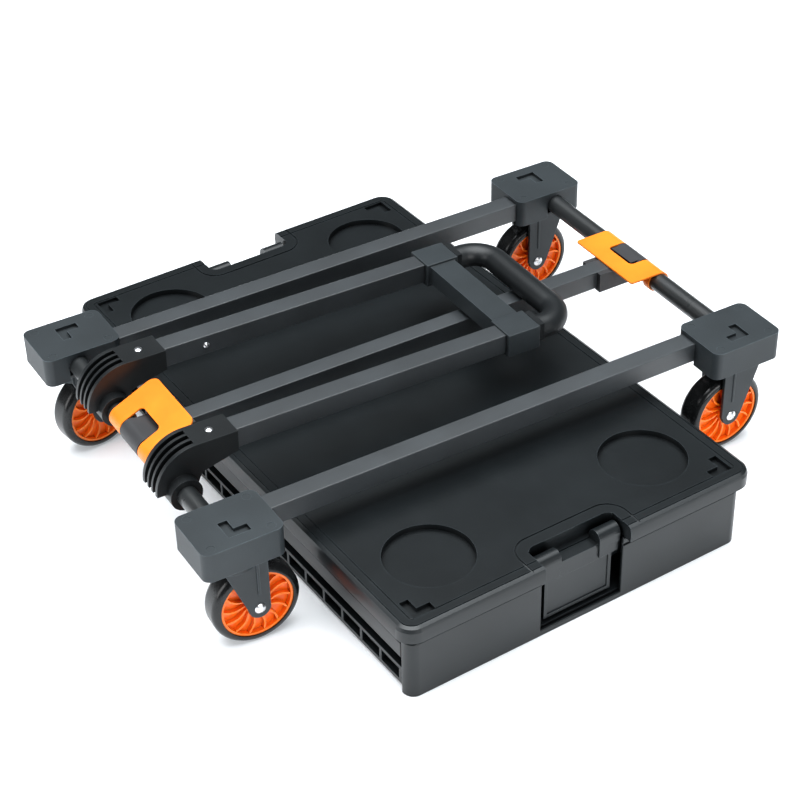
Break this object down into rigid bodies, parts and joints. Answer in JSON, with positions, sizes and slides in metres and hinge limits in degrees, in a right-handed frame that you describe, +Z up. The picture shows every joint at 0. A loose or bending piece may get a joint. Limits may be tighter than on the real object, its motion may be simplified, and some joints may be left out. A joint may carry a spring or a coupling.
{
  "type": "folding platform cart",
  "caption": "Folding platform cart with a telescopic handle folded over a tube frame on casters, parked over its collapsed lidded crate.",
  "frame": {"origin": "on the floor, under the middle of the tube frame", "axes": "+X from the handle's hinge end to the rigid wheels, +Y to the cart's left, +Z up"},
  "size_m": [0.515, 0.5202, 0.1346],
  "materials": {
    "moulded_plastic": "fine moulded grain, satin",
    "crate_plastic": "fine grained, matte",
    "tee_plastic": "grained, matte",
    "black_steel": "black powder coat, satin",
    "pedal_plastic": "orange, satin",
    "hub_plastic": "orange, semi gloss",
    "tyre": "smooth black polyurethane",
    "bright_steel": "zinc plated"
  },
  "bodies": {
    "frame": {"corner_cap_rear_left": "moulded_plastic", "corner_cap_rear_right": "moulded_plastic", "corner_cap_front_left": "moulded_plastic", "corner_cap_front_right": "moulded_plastic", "side_rail_left": "black_steel", "side_rail_right": "black_steel", "centre_rail": "black_steel", "cross_tube_rear": "black_steel", "cross_tube_front": "black_steel", "tee_rear": "tee_plastic", "tee_front": "tee_plastic", "cap_screws": "bright_steel", "caster_plate_rear_left": "black_steel", "caster_plate_rear_right": "black_steel", "king_pins": "bright_steel", "rigid_fork_left": "moulded_plastic", "rigid_fork_right": "moulded_plastic", "axles_front": "bright_steel"},
    "caster_left": {"swivel_fork_left": "moulded_plastic", "axle_rear_left": "bright_steel"},
    "caster_right": {"swivel_fork_right": "moulded_plastic", "axle_rear_right": "bright_steel"},
    "wheel_rear_left": {"tyre_rear_left": "tyre", "hub_rear_left": "hub_plastic", "bush_rear_left": "bright_steel"},
    "wheel_rear_right": {"tyre_rear_right": "tyre", "hub_rear_right": "hub_plastic", "bush_rear_right": "bright_steel"},
    "wheel_front_left": {"tyre_front_left": "tyre", "hub_front_left": "hub_plastic", "bush_front_left": "bright_steel"},
    "wheel_front_right": {"tyre_front_right": "tyre", "hub_front_right": "hub_plastic", "bush_front_right": "bright_steel"},
    "handle": {"knuckle_left": "moulded_plastic", "knuckle_right": "moulded_plastic", "handle_tube_left": "black_steel", "handle_tube_right": "black_steel", "handle_crosspiece": "moulded_plastic", "handle_rivets": "bright_steel"},
    "middle_stage": {"middle_tubes": "black_steel"},
    "grip": {"inner_tubes": "black_steel", "grip_upper": "moulded_plastic", "grip_lower": "moulded_plastic"},
    "rear_pedal": {"pedal_rear": "pedal_plastic"},
    "front_pedal": {"pedal_front": "pedal_plastic"},
    "crate": {"crate_base": "crate_plastic", "crate_end_near": "crate_plastic", "crate_end_far": "crate_plastic", "crate_rim": "crate_plastic", "crate_lid": "crate_plastic", "crate_panel_left_lower": "crate_plastic", "crate_panel_left_upper": "crate_plastic", "crate_panel_right_lower": "crate_plastic", "crate_panel_right_upper": "crate_plastic", "crate_latch_pins": "crate_plastic"},
    "latch_near": {"crate_latch_near": "crate_plastic"},
    "latch_far": {"crate_latch_far": "crate_plastic"}
  },
  "joints": [
    {"name": "swivel_left", "type": "hinge", "parent": "frame", "child": "caster_left", "pos_m": [-0.2247, 0.1382, 0.085], "axis": [0, 0, 1], "continuous": true},
    {"name": "swivel_right", "type": "hinge", "parent": "frame", "child": "caster_right", "pos_m": [-0.2247, -0.1382, 0.085], "axis": [0, 0, 1], "continuous": true},
    {"name": "wheel_rear_left_spin", "type": "hinge", "parent": "caster_left", "child": "wheel_rear_left", "pos_m": [-0.21187, 0.14032, 0.035], "axis": [-0.1633, 0.9866, 0], "continuous": true},
    {"name": "wheel_rear_right_spin", "type": "hinge", "parent": "caster_right", "child": "wheel_rear_right", "pos_m": [-0.21172, -0.13893, 0.035], "axis": [0.0558, 0.9984, 0], "continuous": true},
    {"name": "wheel_front_left_spin", "type": "hinge", "parent": "frame", "child": "wheel_front_left", "pos_m": [0.2212, 0.139, 0.035], "axis": [0, 1, 0], "continuous": true},
    {"name": "wheel_front_right_spin", "type": "hinge", "parent": "frame", "child": "wheel_front_right", "pos_m": [0.2212, -0.139, 0.035], "axis": [0, 1, 0], "continuous": true},
    {"name": "handle_swing", "type": "hinge", "parent": "frame", "child": "handle", "pos_m": [-0.2302, 0, 0.0985], "axis": [0, -1, 0], "range_deg": [0, 100]},
    {"name": "middle_slide", "type": "slide", "parent": "handle", "child": "middle_stage", "axis": [0.9998, 0, -0.0201], "range_m": [0, 0.235]},
    {"name": "grip_slide", "type": "slide", "parent": "middle_stage", "child": "grip", "axis": [0.9998, 0, -0.0201], "range_m": [0, 0.235]},
    {"name": "rear_pedal_press", "type": "hinge", "parent": "frame", "child": "rear_pedal", "pos_m": [-0.2302, 0, 0.0985], "axis": [0, 1, 0], "range_deg": [0, 18], "stiffness_Nm_per_rad": 0.3, "springref_deg": -17.19},
    {"name": "front_pedal_lift", "type": "hinge", "parent": "frame", "child": "front_pedal", "pos_m": [0.2302, 0, 0.0985], "axis": [0, 1, 0], "range_deg": [0, 25], "stiffness_Nm_per_rad": 0.3, "springref_deg": -17.19},
    {"name": "crate_slide", "type": "slide", "parent": "frame", "child": "crate", "axis": [0.0471, -0.9989, 0], "range_m": [0, 0.55]},
    {"name": "latch_near_flip", "type": "hinge", "parent": "crate", "child": "latch_near", "pos_m": [0.00129, -0.24454, 0.0615], "axis": [-0.9989, -0.0471, 0], "range_deg": [0, 95]},
    {"name": "latch_far_flip", "type": "hinge", "parent": "crate", "child": "latch_far", "pos_m": [-0.02109, 0.22994, 0.0615], "axis": [0.9989, 0.0471, 0], "range_deg": [0, 95]}
  ]
}
